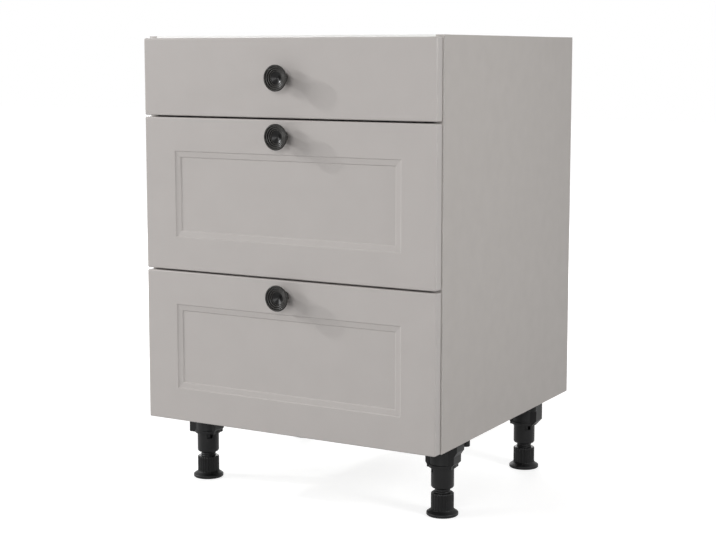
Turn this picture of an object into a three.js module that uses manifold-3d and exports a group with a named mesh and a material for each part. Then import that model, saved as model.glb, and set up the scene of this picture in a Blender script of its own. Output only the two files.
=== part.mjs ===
// Kitchen base cabinet, 600 mm wide: a boarded carcass on four adjustable feet, with one shallow
// and two deep drawers on full-extension runners.
// Millimetres, +Z up, the fronts facing -Y. The origin is on the floor, at the middle of the whole
// cabinet's footprint, knobs included.
import * as THREE from "three";
import { mergeVertices } from "three/addons/utils/BufferGeometryUtils.js";
import Module from "manifold-3d";

const wasm = await Module();
wasm.setup();

// ---------------------------------------------------------------- overall
const CABINET_WIDTH = 600;
const CARCASS_HEIGHT = 704;
const OVERALL_DEPTH = 584; // face of the drawer fronts to the rear edge of the side panels
const FOOT_HEIGHT = 138; // floor to the underside of the carcass

// ---------------------------------------------------------------- carcass boards
const BOARD = 16;
const BACK_BOARD = 3.2;
const BACK_GROOVE_DEPTH = 6;
const BACK_SETBACK = 18; // rear edge of the sides to the rear face of the back board
const TOP_RAIL_WIDTH = 100;
const BOARD_CLEARANCE = 0.3; // between a board and the groove or wall that it slides into
const WORKTOP_SCREW_HOLE = 6; // diameter, two in each top rail
const OVERCUT = 5; // how far a cutting tool stands out of the body that it cuts
const WORKTOP_SCREW_INSET = 90; // screw hole to the end of its rail

// ---------------------------------------------------------------- drawer fronts
const FRONT_BOARD = 19;
const FRONT_STANDOFF = 2; // between the fronts and the carcass edges
const FRONT_GAP = 3; // between one front and the next
const FRONT_SIDE_INSET = 2; // edge of a front to the outside of the carcass
const FRONT_TOP_INSET = 3.5; // top edge of the highest front to the top of the carcass
const FRONT_EDGE_RADIUS = 2.5;
const FRONT_EDGE_STEPS = 3;
const DRAWERS = [
  { name: "bottom", share: 2, deep: true },
  { name: "middle", share: 2, deep: true },
  { name: "top", share: 1, deep: false },
]; // from the floor up; share is the front's part of the height

// Milled frame on the deep fronts: a step, a gently sloping strip and a second step to the field.
const FRAME_STILE = 66;
const FRAME_RAIL = 60.5;
const STEP_RUN = 1.2;
const OUTER_STEP_DEPTH = 1.3;
const STRIP_WIDTH = 9.6;
const STRIP_FALL = 0.7;
const INNER_STEP_DEPTH = 1.3;

// ---------------------------------------------------------------- knobs
const KNOB_RADIUS = 23;
const KNOB_REACH = 27; // face of the front to the foremost edge of the knob
const KNOB_BASE_RADIUS = 10.5;
const KNOB_NECK_RADIUS = 8;
const KNOB_DROP = 28.5; // top edge of a framed front to the middle of its knob
const KNOB_SEGMENTS = 24;
const SCREW_RADIUS = 2;
const SCREW_TIP = 1; // height and taper of the point
const SCREW_HEAD_RADIUS = 4.2;
const SCREW_HEAD_TOP_RADIUS = 3;
const SCREW_HEAD_HEIGHT = 2.6;
const SCREW_IN_KNOB = 9;
const SCREW_CLEARANCE = 0.3; // round the shank, and past its tip
const SCREW_SEGMENTS = 12;

// ---------------------------------------------------------------- runners and drawer boxes
const RUNNER_SHEET = 1.5;
const RUNNER_RISE = 24; // lower edge of a front to the underside of its runner
const CABINET_RAIL_FLANGE = 34; // height against the side panel
const CABINET_RAIL_WIDTH = 39;
const CABINET_RAIL_LIP = 9;
const CABINET_RAIL_SETBACK = 3; // carcass front edge to the front end of the rail
const SLIDE_GAP = 0.5; // running clearance, upwards, between sliding members
const MIDDLE_RAIL_START = 5; // from the side panel inwards
const MIDDLE_RAIL_WIDTH = 29;
const MIDDLE_RAIL_HEIGHT = 10;
const MIDDLE_RAIL_SHARE = 0.86; // of the cabinet rail's length
const DRAWER_REAR_GAP = 43.8; // rear end of a drawer box to the back board
const SIDE_SHEET = 1.2;
const SIDE_TOP_DROP = 30.9; // top edge of the shallowest front to the top of its metal sides
const SIDE_LEG_START = 2.6; // from the side panel inwards
const SIDE_LEG_DROP = 7.5;
const SIDE_WALL_START = 14;
const SIDE_WALL_WIDTH = 14;
const SIDE_LEDGE = 18; // carries the drawer's bottom board
const DRAWER_BOARD = 16;
const DEEP_BACK_HEIGHT = 172; // underside of the runner to the top of a deep drawer's back
const GALLERY_HEIGHT = 152; // underside of the runner to the middle of the gallery rod
const GALLERY_ROD_RADIUS = 5;
const GALLERY_SEGMENTS = 16;
const GALLERY_FLANGE_RADIUS = 9;
const GALLERY_FLANGE = 4;
const GALLERY_HOLDER_HALF_HEIGHT = 10;

// ---------------------------------------------------------------- feet
const FOOT_SIDE_INSET = 48; // outside of the carcass to the foot's axis
const FOOT_FRONT_INSET = 122; // face of the fronts to the axis of the front feet
const FOOT_REAR_INSET = 101; // rear edge of the carcass to the axis of the rear feet
const PLATE_THICKNESS = 6;
const PLATE_HALF = 38;
const PLATE_CORNER = 8;
const PLATE_SCREW_OFFSET = 30;
const PLATE_SCREW_RADIUS = 2.4;
const PLATE_BOSS_RADIUS = 8;
const PLATE_BOSS_HEIGHT = 8; // underside of the carcass to the lower end of a boss
const PLATE_LUG_HEIGHT = 17; // the same for the one boss that is longer
const SOCKET_DROP = 51; // underside of the carcass to the lower end of the socket
const SOCKET_WALL = 2.8;
const SOCKET_RIM = 1.4; // how far the collar at the socket's lower end stands out
const SOCKET_RIM_HEIGHT = 6;
const BLOCK_HALF_DEPTH = 15;
const RIB_THICKNESS = 6;
const RIB_REACH = 22; // foot's axis to the outer end of the ribs that run front to back
const RIB_DROP = 28; // underside of the carcass to the ribs' lower outer corner
// Sides of the block beside the socket: [foot's axis outwards, underside of the carcass downwards].
const BLOCK_BOX = [[33, SOCKET_DROP]];
const BLOCK_PLAIN = [[27, 42], [24, 46], [24, SOCKET_DROP]];
const BLOCK_SLOPED = [[31.5, 41], [23, 50], [23, SOCKET_DROP]];
const BLOCK_STEPPED = [[35, 19], [29, 28], [29, 41], [24, 46], [24, SOCKET_DROP]];
const SLEEVE_RADIUS = 20.5;
const SLEEVE_WALL = 6;
const SLEEVE_LOWER_END = 50; // above the floor
const SLEEVE_CHAMFER = 2.5;
const SLEEVE_WINDOW_WIDTH = 11;
const SLEEVE_WINDOW_HEIGHT = 8;
const SLEEVE_WINDOW_DROP = 1; // socket's lower end to the window's upper edge
const SEAT_GAP = 0.3; // sleeve in its socket
const STEM_GAP = 0.4; // threaded stem in its sleeve
const STEM_ENGAGED = 48; // length of stem inside the sleeve
const GRIP_TOP = 41; // above the floor
const GRIP_BOTTOM = 11;
const GRIP_RIBS = 22;
const GRIP_RIB_DEPTH = 1.1;
const GRIP_RIB_START = 0.2; // the next three are shares of one rib's pitch
const GRIP_RIB_SHARE = 0.5;
const GRIP_RIB_SLOPE = 0.15;
const GRIP_CHAMFER = 1.6;
const FOOT_PAD_RADIUS = 28.5;
const FOOT_PAD_RIM = 5.3;
const FOOT_PAD_CHAMFER = 1.2;
const ROUND_SEGMENTS = 28;

// ---------------------------------------------------------------- places worked out from them
const HALF_WIDTH = CABINET_WIDTH / 2;
const HALF_INNER = HALF_WIDTH - BOARD;
const Y_FACE = -(OVERALL_DEPTH - KNOB_REACH) / 2; // face of the drawer fronts
const Y_FRONT_BACK = Y_FACE + FRONT_BOARD;
const Y_CARCASS_FRONT = Y_FRONT_BACK + FRONT_STANDOFF;
const Y_REAR = Y_FACE + OVERALL_DEPTH;
const Y_BACK_BOARD = Y_REAR - BACK_SETBACK - BACK_BOARD; // front face of the back board
const Z_CARCASS = FOOT_HEIGHT;
const Z_TOP = FOOT_HEIGHT + CARCASS_HEIGHT;
const FRONT_WIDTH = CABINET_WIDTH - 2 * FRONT_SIDE_INSET;
const DRAWER_LENGTH = Y_BACK_BOARD - DRAWER_REAR_GAP - Y_FRONT_BACK;
const CABINET_RAIL_LENGTH = DRAWER_LENGTH;
const SLEEVE_BORE = SLEEVE_RADIUS - SLEEVE_WALL;
const STEM_RADIUS = SLEEVE_BORE - STEM_GAP;

// ---------------------------------------------------------------- materials
const finish = (name, color, roughness, metalness) =>
  Object.assign(new THREE.MeshStandardMaterial({ color, roughness, metalness }), { name });
const GREY_LAMINATE = finish("grey_laminate", 0xb1aca7, 0.55, 0);
const GREY_LACQUER = finish("grey_lacquer", 0xb6b1ac, 0.5, 0);
const WHITE_BOARD = finish("white_board", 0xeeeeec, 0.5, 0);
const HARDBOARD = finish("hardboard", 0xe9e8e4, 0.6, 0);
const GALVANISED = finish("galvanised_steel", 0xb9bcbd, 0.35, 1);
const WHITE_STEEL = finish("white_steel", 0xdcdddd, 0.4, 0);
const ANTIQUE_BLACK = finish("antique_black", 0x2b2a2a, 0.4, 0.6);
const BLACK_PLASTIC = finish("black_plastic", 0x232324, 0.5, 0);

// ---------------------------------------------------------------- solids
/** A closed three.js geometry as a solid that can be cut and joined. */
function solid(geometry) {
  const bare = geometry.index ? geometry.toNonIndexed() : geometry.clone();
  for (const key of Object.keys(bare.attributes)) {
    if (key !== "position") bare.deleteAttribute(key);
  }
  const merged = mergeVertices(bare, 1e-4);
  return new wasm.Manifold(
    new wasm.Mesh({
      numProp: 3,
      vertProperties: merged.attributes.position.array,
      triVerts: new Uint32Array(merged.index.array),
    }),
  );
}

/** A solid as a three.js geometry with flat-shaded faces. */
function geometryOf(body) {
  const { numProp, vertProperties, triVerts } = body.getMesh();
  const corners = new Float32Array(triVerts.length * 3);
  triVerts.forEach((vertex, i) => {
    corners.set(vertProperties.subarray(vertex * numProp, vertex * numProp + 3), i * 3);
  });
  const geometry = new THREE.BufferGeometry();
  geometry.setAttribute("position", new THREE.BufferAttribute(corners, 3));
  geometry.computeVertexNormals();
  return geometry;
}

/** A named mesh from a solid or a geometry. */
function piece(name, shape, material) {
  const mesh = new THREE.Mesh(shape.isBufferGeometry ? shape : geometryOf(shape), material);
  mesh.name = name;
  return mesh;
}

/** A box between two corners. */
function box([x0, y0, z0], [x1, y1, z1]) {
  const geometry = new THREE.BoxGeometry(x1 - x0, y1 - y0, z1 - z0);
  return solid(geometry.translate((x0 + x1) / 2, (y0 + y1) / 2, (z0 + z1) / 2));
}

/** An upright cylinder from z0 to z1, its axis at (x, y). */
function post(radius, z0, z1, x = 0, y = 0, segments = SCREW_SEGMENTS) {
  const geometry = new THREE.CylinderGeometry(radius, radius, z1 - z0, segments);
  return solid(geometry.rotateX(Math.PI / 2).translate(x, y, (z0 + z1) / 2));
}

/** A body turned about +Z from points [radius, z], listed from the axis up the outside. */
function turned(profile, segments) {
  const points = profile.map(([radius, z]) => new THREE.Vector2(radius, z));
  return solid(new THREE.LatheGeometry(points, segments).rotateX(Math.PI / 2));
}

/** An outline in X and Z, extruded from y0 to y1. */
function alongY(outline, y0, y1) {
  const shape = new THREE.Shape(outline.map(([x, z]) => new THREE.Vector2(x, z)));
  const geometry = new THREE.ExtrudeGeometry(shape, { depth: y1 - y0, bevelEnabled: false });
  return solid(geometry.rotateX(Math.PI / 2).translate(0, y1, 0));
}

/** The outline of a folded sheet: a line of right-angled folds, thickened to the left of its way. */
function foldedSheet(line, thickness) {
  const way = (a, b) => {
    const length = Math.hypot(b[0] - a[0], b[1] - a[1]);
    return [(b[0] - a[0]) / length, (b[1] - a[1]) / length];
  };
  const inner = line.map((point, i) => {
    const before = i > 0 ? way(line[i - 1], point) : way(point, line[i + 1]);
    const after = i < line.length - 1 ? way(point, line[i + 1]) : before;
    const square = before[0] * after[0] + before[1] * after[1] > 0.5;
    const shift = square
      ? [-before[1], before[0]]
      : [-before[1] - after[1], before[0] + after[0]];
    return [point[0] + shift[0] * thickness, point[1] + shift[1] * thickness];
  });
  return [...line, ...inner.reverse()];
}

/** Mirrors a point given as [distance inwards from the side panel, height] to one side. */
const atSide = (side, outline, z) =>
  outline.map(([inwards, up]) => [side * (HALF_INNER - inwards), z + up]);

/** Runs make("left", -1) and make("right", 1), and gives both results. */
const bothSides = (make) => [make("left", -1), make("right", 1)];

// ---------------------------------------------------------------- carcass
function sidePanel(word, side) {
  const outside = side * HALF_WIDTH;
  const inside = side * HALF_INNER;
  const [low, high] = [Math.min(outside, inside), Math.max(outside, inside)];
  const panel = box([low, Y_CARCASS_FRONT, Z_CARCASS], [high, Y_REAR, Z_TOP]);
  const grooveFloor = inside + side * BACK_GROOVE_DEPTH;
  const groove = box(
    [Math.min(inside, grooveFloor), Y_BACK_BOARD - BOARD_CLEARANCE, Z_CARCASS - OVERCUT],
    [Math.max(inside, grooveFloor), Y_BACK_BOARD + BACK_BOARD + BOARD_CLEARANCE, Z_TOP + OVERCUT],
  );
  return piece(`side_panel_${word}`, panel.subtract(groove), GREY_LAMINATE);
}

function topRail(word, y0, y1) {
  let rail = box([-HALF_INNER, y0, Z_TOP - BOARD], [HALF_INNER, y1, Z_TOP]);
  for (const side of [-1, 1]) {
    const x = side * (HALF_INNER - WORKTOP_SCREW_INSET);
    const zBelow = Z_TOP - BOARD - OVERCUT;
    rail = rail.subtract(post(WORKTOP_SCREW_HOLE / 2, zBelow, Z_TOP + OVERCUT, x, (y0 + y1) / 2));
  }
  return piece(`top_rail_${word}`, rail, WHITE_BOARD);
}

function carcass() {
  const yBoardsEnd = Y_BACK_BOARD - BOARD_CLEARANCE;
  const backHalf = HALF_INNER + BACK_GROOVE_DEPTH - BOARD_CLEARANCE;
  const group = new THREE.Group();
  group.add(
    ...bothSides(sidePanel),
    piece(
      "bottom_panel",
      box([-HALF_INNER, Y_CARCASS_FRONT, Z_CARCASS], [HALF_INNER, yBoardsEnd, Z_CARCASS + BOARD]),
      WHITE_BOARD,
    ),
    topRail("front", Y_CARCASS_FRONT, Y_CARCASS_FRONT + TOP_RAIL_WIDTH),
    topRail("rear", yBoardsEnd - TOP_RAIL_WIDTH, yBoardsEnd),
    piece(
      "back_panel",
      box([-backHalf, Y_BACK_BOARD, Z_CARCASS], [backHalf, Y_BACK_BOARD + BACK_BOARD, Z_TOP]),
      HARDBOARD,
    ),
  );
  return group;
}

// ---------------------------------------------------------------- runners
/** The fixed rail: a flange on the side panel, a web and a lip, folded from one strip. */
function cabinetRail(drawer, word, side) {
  const line = [
    [0, CABINET_RAIL_FLANGE],
    [0, 0],
    [CABINET_RAIL_WIDTH, 0],
    [CABINET_RAIL_WIDTH, CABINET_RAIL_LIP],
  ];
  const y0 = Y_CARCASS_FRONT + CABINET_RAIL_SETBACK;
  const outline = atSide(side, foldedSheet(line, RUNNER_SHEET), drawer.zRunner);
  return piece(
    `cabinet_rail_${drawer.name}_${word}`,
    alongY(outline, y0, y0 + CABINET_RAIL_LENGTH),
    GALVANISED,
  );
}

/** The middle rail: a downward channel that runs on the fixed rail's web. */
function middleRail(drawer, word, side) {
  const foot = RUNNER_SHEET + SLIDE_GAP;
  const line = [
    [MIDDLE_RAIL_START + MIDDLE_RAIL_WIDTH, foot],
    [MIDDLE_RAIL_START + MIDDLE_RAIL_WIDTH, foot + MIDDLE_RAIL_HEIGHT],
    [MIDDLE_RAIL_START, foot + MIDDLE_RAIL_HEIGHT],
    [MIDDLE_RAIL_START, foot],
  ];
  const y0 = Y_CARCASS_FRONT + 2 * CABINET_RAIL_SETBACK;
  const outline = atSide(side, foldedSheet(line, RUNNER_SHEET), drawer.zRunner);
  return piece(
    `middle_rail_${drawer.name}_${word}`,
    alongY(outline, y0, y0 + CABINET_RAIL_LENGTH * MIDDLE_RAIL_SHARE),
    GALVANISED,
  );
}

// ---------------------------------------------------------------- drawers
/** Height, above the runner's underside, of the metal side's lower face. */
const LEDGE_UNDERSIDE = RUNNER_SHEET + SLIDE_GAP + MIDDLE_RAIL_HEIGHT + SLIDE_GAP;
const LEDGE_TOP = LEDGE_UNDERSIDE + SIDE_SHEET;

/** The metal drawer side, folded from one sheet: leg, shelf, double wall and ledge. */
function drawerSide(drawer, word, side) {
  const line = [
    [SIDE_LEG_START, LEDGE_TOP - SIDE_LEG_DROP],
    [SIDE_LEG_START, LEDGE_TOP],
    [SIDE_WALL_START, LEDGE_TOP],
    [SIDE_WALL_START, drawer.sideHeight],
    [SIDE_WALL_START + SIDE_WALL_WIDTH, drawer.sideHeight],
    [SIDE_WALL_START + SIDE_WALL_WIDTH, LEDGE_TOP],
    [SIDE_WALL_START + SIDE_WALL_WIDTH + SIDE_LEDGE, LEDGE_TOP],
  ];
  const folded = foldedSheet(line.reverse(), SIDE_SHEET);
  return piece(
    `drawer_side_${drawer.name}_${word}`,
    alongY(atSide(side, folded, drawer.zRunner), Y_FRONT_BACK, Y_FRONT_BACK + DRAWER_LENGTH),
    WHITE_STEEL,
  );
}

/** A rectangle about the origin. */
function rectangle(width, height) {
  const corners = [[-1, -1], [1, -1], [1, 1], [-1, 1]];
  return new THREE.Shape(corners.map(([x, y]) => new THREE.Vector2((x * width) / 2, (y * height) / 2)));
}

/** A tool that sinks a mitred recess: width by height at its mouth, walls leaning in by run. */
function recessTool(width, height, run, depth, mouthDepth) {
  const shape = rectangle(width - 2 * run, height - 2 * run);
  const length = mouthDepth + OVERCUT;
  const geometry = new THREE.ExtrudeGeometry(shape, {
    depth: length,
    bevelThickness: depth,
    bevelSize: run,
    bevelSegments: 1,
  });
  return solid(geometry.translate(0, 0, FRONT_BOARD - mouthDepth));
}

/** A front lying on its back, face up, its middle at the origin. */
function frontBoard(height, framed) {
  const radius = FRONT_EDGE_RADIUS;
  const slab = new THREE.ExtrudeGeometry(rectangle(FRONT_WIDTH - 2 * radius, height - 2 * radius), {
    depth: FRONT_BOARD - radius,
    bevelThickness: radius,
    bevelSize: radius,
    bevelSegments: FRONT_EDGE_STEPS,
  });
  const belowBack = box([-CABINET_WIDTH, -height, -2 * radius], [CABINET_WIDTH, height, 0]);
  let board = solid(slab).subtract(belowBack);
  if (framed) {
    let [width, tall, depth] = [FRONT_WIDTH - 2 * FRAME_STILE, height - 2 * FRAME_RAIL, 0];
    for (const [run, fall] of [
      [STEP_RUN, OUTER_STEP_DEPTH],
      [STRIP_WIDTH, STRIP_FALL],
      [STEP_RUN, INNER_STEP_DEPTH],
    ]) {
      board = board.subtract(recessTool(width, tall, run, fall, depth));
      width -= 2 * run;
      tall -= 2 * run;
      depth += fall;
    }
  }
  return board;
}

/**
 * Height of the knob above the middle of its front. A shallow front has it in the middle, or as high
 * as the head of its screw needs to clear the drawer's bottom board.
 */
function knobRise(drawer) {
  if (drawer.deep) {
    return drawer.frontHeight / 2 - KNOB_DROP;
  }
  const boardTop = RUNNER_RISE + LEDGE_TOP + DRAWER_BOARD;
  return Math.max(0, boardTop + SCREW_CLEARANCE + SCREW_HEAD_RADIUS - drawer.frontHeight / 2);
}

function drawerFront(drawer) {
  const holeRadius = SCREW_RADIUS + SCREW_CLEARANCE;
  const hole = post(holeRadius, -OVERCUT, FRONT_BOARD + OVERCUT, 0, knobRise(drawer));
  const board = frontBoard(drawer.frontHeight, drawer.deep).subtract(hole);
  const mesh = piece(`drawer_front_${drawer.name}`, board, GREY_LACQUER);
  mesh.rotation.x = Math.PI / 2;
  mesh.position.set(0, Y_FRONT_BACK, drawer.zFront + drawer.frontHeight / 2);
  return mesh;
}

/** Radii and heights, from the front's face, of the turned knob: base, neck, rim, stepped bowl. */
const KNOB_PROFILE = [
  [0, 0],
  [KNOB_BASE_RADIUS, 0],
  [KNOB_BASE_RADIUS, 1.6],
  [KNOB_NECK_RADIUS + 0.8, 3.2],
  [KNOB_NECK_RADIUS, 6],
  [KNOB_NECK_RADIUS + 0.3, KNOB_REACH - 13.5],
  [KNOB_NECK_RADIUS + 4.5, KNOB_REACH - 9.5],
  [KNOB_RADIUS - 2, KNOB_REACH - 6],
  [KNOB_RADIUS, KNOB_REACH - 3.6],
  [KNOB_RADIUS, KNOB_REACH - 1.6],
  [KNOB_RADIUS - 1.4, KNOB_REACH],
  [KNOB_RADIUS - 3, KNOB_REACH - 0.4],
  [KNOB_RADIUS - 3.6, KNOB_REACH - 2],
  [KNOB_RADIUS - 6.2, KNOB_REACH - 2.4],
  [KNOB_RADIUS - 6.8, KNOB_REACH - 4],
  [KNOB_RADIUS - 9.4, KNOB_REACH - 4.4],
  [KNOB_RADIUS - 10, KNOB_REACH - 6],
  [KNOB_RADIUS - 13, KNOB_REACH - 6.4],
  [KNOB_RADIUS - 15, KNOB_REACH - 8.5],
  [KNOB_RADIUS - 18.5, KNOB_REACH - 10],
  [0, KNOB_REACH - 10.8],
];

function knob(drawer) {
  const bore = post(SCREW_RADIUS + SCREW_CLEARANCE, -OVERCUT, SCREW_IN_KNOB + SCREW_CLEARANCE);
  const body = turned(KNOB_PROFILE, KNOB_SEGMENTS).subtract(bore);
  const mesh = piece(`knob_${drawer.name}`, body, ANTIQUE_BLACK);
  mesh.rotation.x = Math.PI / 2;
  mesh.position.set(0, Y_FACE, drawer.zFront + drawer.frontHeight / 2 + knobRise(drawer));
  return mesh;
}

/** The screw that pulls the knob on from inside the drawer. */
function knobScrew(drawer) {
  const tip = FRONT_BOARD + SCREW_IN_KNOB;
  const profile = [
    [0, -SCREW_HEAD_HEIGHT],
    [SCREW_HEAD_TOP_RADIUS, -SCREW_HEAD_HEIGHT],
    [SCREW_HEAD_RADIUS, -SCREW_HEAD_HEIGHT / 2],
    [SCREW_HEAD_RADIUS, 0],
    [SCREW_RADIUS, 0],
    [SCREW_RADIUS, tip - SCREW_TIP],
    [SCREW_RADIUS - SCREW_TIP, tip],
    [0, tip],
  ];
  const mesh = piece(`knob_screw_${drawer.name}`, turned(profile, SCREW_SEGMENTS), GALVANISED);
  mesh.rotation.x = Math.PI / 2;
  mesh.position.set(0, Y_FRONT_BACK, drawer.zFront + drawer.frontHeight / 2 + knobRise(drawer));
  return mesh;
}

/** The rod over a deep drawer's metal side, with its flange at the front and holder at the back. */
function galleryRod(drawer, word, side) {
  const inwards = SIDE_WALL_START + SIDE_WALL_WIDTH / 2;
  const x = side * (HALF_INNER - inwards);
  const z = drawer.zRunner + GALLERY_HEIGHT;
  const yHolder = Y_FRONT_BACK + DRAWER_LENGTH - DRAWER_BOARD;
  const bar = (radius, y0, y1) => {
    const geometry = new THREE.CylinderGeometry(radius, radius, y1 - y0, GALLERY_SEGMENTS);
    return solid(geometry.translate(x, (y0 + y1) / 2, z));
  };
  const holderEdge = side * (HALF_INNER - SIDE_WALL_START - SIDE_WALL_WIDTH);
  const holderOuter = side * (HALF_INNER - SIDE_WALL_START);
  const holder = box(
    [Math.min(holderEdge, holderOuter), yHolder, z - GALLERY_HOLDER_HALF_HEIGHT],
    [Math.max(holderEdge, holderOuter), yHolder + DRAWER_BOARD, z + GALLERY_HOLDER_HALF_HEIGHT],
  );
  const rod = bar(GALLERY_ROD_RADIUS, Y_FRONT_BACK, yHolder + DRAWER_BOARD / 2)
    .add(bar(GALLERY_FLANGE_RADIUS, Y_FRONT_BACK, Y_FRONT_BACK + GALLERY_FLANGE))
    .add(holder);
  return piece(`gallery_rod_${drawer.name}_${word}`, rod, WHITE_STEEL);
}

function drawerBox(drawer) {
  const half = HALF_INNER - SIDE_WALL_START - SIDE_WALL_WIDTH - BOARD_CLEARANCE;
  const yRear = Y_FRONT_BACK + DRAWER_LENGTH;
  const zBottom = drawer.zRunner + LEDGE_TOP;
  const zBack = drawer.zRunner + (drawer.deep ? DEEP_BACK_HEIGHT : drawer.sideHeight);
  return [
    piece(
      `drawer_bottom_${drawer.name}`,
      box([-half, Y_FRONT_BACK, zBottom], [half, yRear, zBottom + DRAWER_BOARD]),
      WHITE_BOARD,
    ),
    piece(
      `drawer_back_${drawer.name}`,
      box([-half, yRear - DRAWER_BOARD, zBottom + DRAWER_BOARD], [half, yRear, zBack]),
      WHITE_BOARD,
    ),
  ];
}

// ---------------------------------------------------------------- feet
/** A square with rounded corners, from z0 to z1. */
function roundedPlate(half, corner, z0, z1) {
  const shape = new THREE.Shape();
  const flat = half - corner;
  shape.absarc(flat, flat, corner, 0, Math.PI / 2);
  shape.absarc(-flat, flat, corner, Math.PI / 2, Math.PI);
  shape.absarc(-flat, -flat, corner, Math.PI, 1.5 * Math.PI);
  shape.absarc(flat, -flat, corner, 1.5 * Math.PI, 2 * Math.PI);
  const geometry = new THREE.ExtrudeGeometry(shape, {
    depth: z1 - z0,
    bevelEnabled: false,
    curveSegments: 4,
  });
  return solid(geometry.translate(0, 0, z0));
}

/**
 * The mounting plate with its block, round socket, ribs and screw bosses, in the foot's own frame.
 * left and right are the block's two sides, and lug is the corner whose boss is longer.
 */
function footPlate(word, { left, right, lug }) {
  const zPlate = FOOT_HEIGHT - PLATE_THICKNESS;
  const zSocket = FOOT_HEIGHT - SOCKET_DROP;
  const zInside = FOOT_HEIGHT - PLATE_THICKNESS / 2; // where the parts below end inside the plate
  const blockSide = (corners, way) => [
    [way * corners[0][0], zInside],
    ...corners.map(([x, drop]) => [way * x, FOOT_HEIGHT - drop]),
  ];
  const blockOutline = [...blockSide(right, 1), ...blockSide(left, -1).reverse()];
  const ribOutline = [
    [-RIB_REACH, zInside],
    [-RIB_REACH, FOOT_HEIGHT - RIB_DROP],
    [-BLOCK_HALF_DEPTH, zSocket + SOCKET_RIM_HEIGHT],
    [BLOCK_HALF_DEPTH, zSocket + SOCKET_RIM_HEIGHT],
    [RIB_REACH, FOOT_HEIGHT - RIB_DROP],
    [RIB_REACH, zInside],
  ];
  const socketRadius = SLEEVE_RADIUS + SEAT_GAP;
  const outerRadius = socketRadius + SOCKET_WALL;
  const zRim = zSocket + SOCKET_RIM_HEIGHT;
  let plate = roundedPlate(PLATE_HALF, PLATE_CORNER, zPlate, FOOT_HEIGHT)
    .add(alongY(blockOutline, -BLOCK_HALF_DEPTH, BLOCK_HALF_DEPTH))
    .add(alongY(ribOutline, -RIB_THICKNESS / 2, RIB_THICKNESS / 2).rotate([0, 0, 90]))
    .add(post(outerRadius, zSocket, zInside, 0, 0, ROUND_SEGMENTS))
    .add(post(outerRadius + SOCKET_RIM, zSocket, zRim, 0, 0, ROUND_SEGMENTS))
    .subtract(post(socketRadius, 0, zPlate, 0, 0, ROUND_SEGMENTS));
  for (const [x, y] of [[1, 1], [-1, 1], [-1, -1], [1, -1]]) {
    const [atX, atY] = [x * PLATE_SCREW_OFFSET, y * PLATE_SCREW_OFFSET];
    const isLug = x === lug[0] && y === lug[1];
    const zBoss = FOOT_HEIGHT - (isLug ? PLATE_LUG_HEIGHT : PLATE_BOSS_HEIGHT);
    plate = plate
      .add(post(PLATE_BOSS_RADIUS, zBoss, zInside, atX, atY))
      .subtract(post(PLATE_SCREW_RADIUS, zBoss - OVERCUT, FOOT_HEIGHT + OVERCUT, atX, atY));
  }
  return piece(`foot_plate_${word}`, plate, BLACK_PLASTIC);
}

/** The sleeve that plugs into the socket, with a latch window facing windowAngle. */
function footSleeve(word, windowAngle) {
  const zTop = FOOT_HEIGHT - PLATE_THICKNESS - SEAT_GAP;
  const tube = turned(
    [
      [SLEEVE_BORE, SLEEVE_LOWER_END],
      [SLEEVE_RADIUS - SLEEVE_CHAMFER, SLEEVE_LOWER_END],
      [SLEEVE_RADIUS, SLEEVE_LOWER_END + SLEEVE_CHAMFER],
      [SLEEVE_RADIUS, zTop],
      [SLEEVE_BORE, zTop],
      [SLEEVE_BORE, SLEEVE_LOWER_END],
    ],
    ROUND_SEGMENTS,
  );
  const zWindow = FOOT_HEIGHT - SOCKET_DROP - SLEEVE_WINDOW_DROP;
  const window = box(
    [-SLEEVE_WINDOW_WIDTH / 2, -SLEEVE_RADIUS - OVERCUT, zWindow - SLEEVE_WINDOW_HEIGHT],
    [SLEEVE_WINDOW_WIDTH / 2, 0, zWindow],
  ).rotate([0, 0, windowAngle]);
  return piece(`foot_sleeve_${word}`, tube.subtract(window), BLACK_PLASTIC);
}

/** The screw foot: pad, ribbed grip and threaded stem in one moulding. */
function footAdjuster(word) {
  const core = SLEEVE_RADIUS - GRIP_RIB_DEPTH;
  const stemTop = SLEEVE_LOWER_END + STEM_ENGAGED;
  const body = turned(
    [
      [0, 0],
      [FOOT_PAD_RADIUS - FOOT_PAD_CHAMFER, 0],
      [FOOT_PAD_RADIUS, FOOT_PAD_CHAMFER],
      [FOOT_PAD_RADIUS, FOOT_PAD_RIM],
      [core, GRIP_BOTTOM],
      [core, GRIP_TOP - GRIP_CHAMFER],
      [core - GRIP_CHAMFER, GRIP_TOP],
      [STEM_RADIUS, GRIP_TOP],
      [STEM_RADIUS, stemTop - GRIP_CHAMFER],
      [STEM_RADIUS - GRIP_CHAMFER, stemTop],
      [0, stemTop],
    ],
    ROUND_SEGMENTS,
  );
  const outline = [];
  const ribCorners = [
    [GRIP_RIB_START - GRIP_RIB_SLOPE, core - GRIP_RIB_DEPTH],
    [GRIP_RIB_START, SLEEVE_RADIUS],
    [GRIP_RIB_START + GRIP_RIB_SHARE, SLEEVE_RADIUS],
    [GRIP_RIB_START + GRIP_RIB_SHARE + GRIP_RIB_SLOPE, core - GRIP_RIB_DEPTH],
  ];
  for (let rib = 0; rib < GRIP_RIBS; rib += 1) {
    for (const [offset, radius] of ribCorners) {
      const angle = ((rib + offset) / GRIP_RIBS) * 2 * Math.PI;
      outline.push(new THREE.Vector2(radius * Math.cos(angle), radius * Math.sin(angle)));
    }
  }
  const ribs = new THREE.ExtrudeGeometry(new THREE.Shape(outline), {
    depth: GRIP_TOP - GRIP_CHAMFER - GRIP_BOTTOM,
    bevelEnabled: false,
  });
  return piece(
    `foot_adjuster_${word}`,
    body.add(solid(ribs.translate(0, 0, GRIP_BOTTOM - GRIP_RIB_DEPTH))),
    BLACK_PLASTIC,
  );
}

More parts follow.
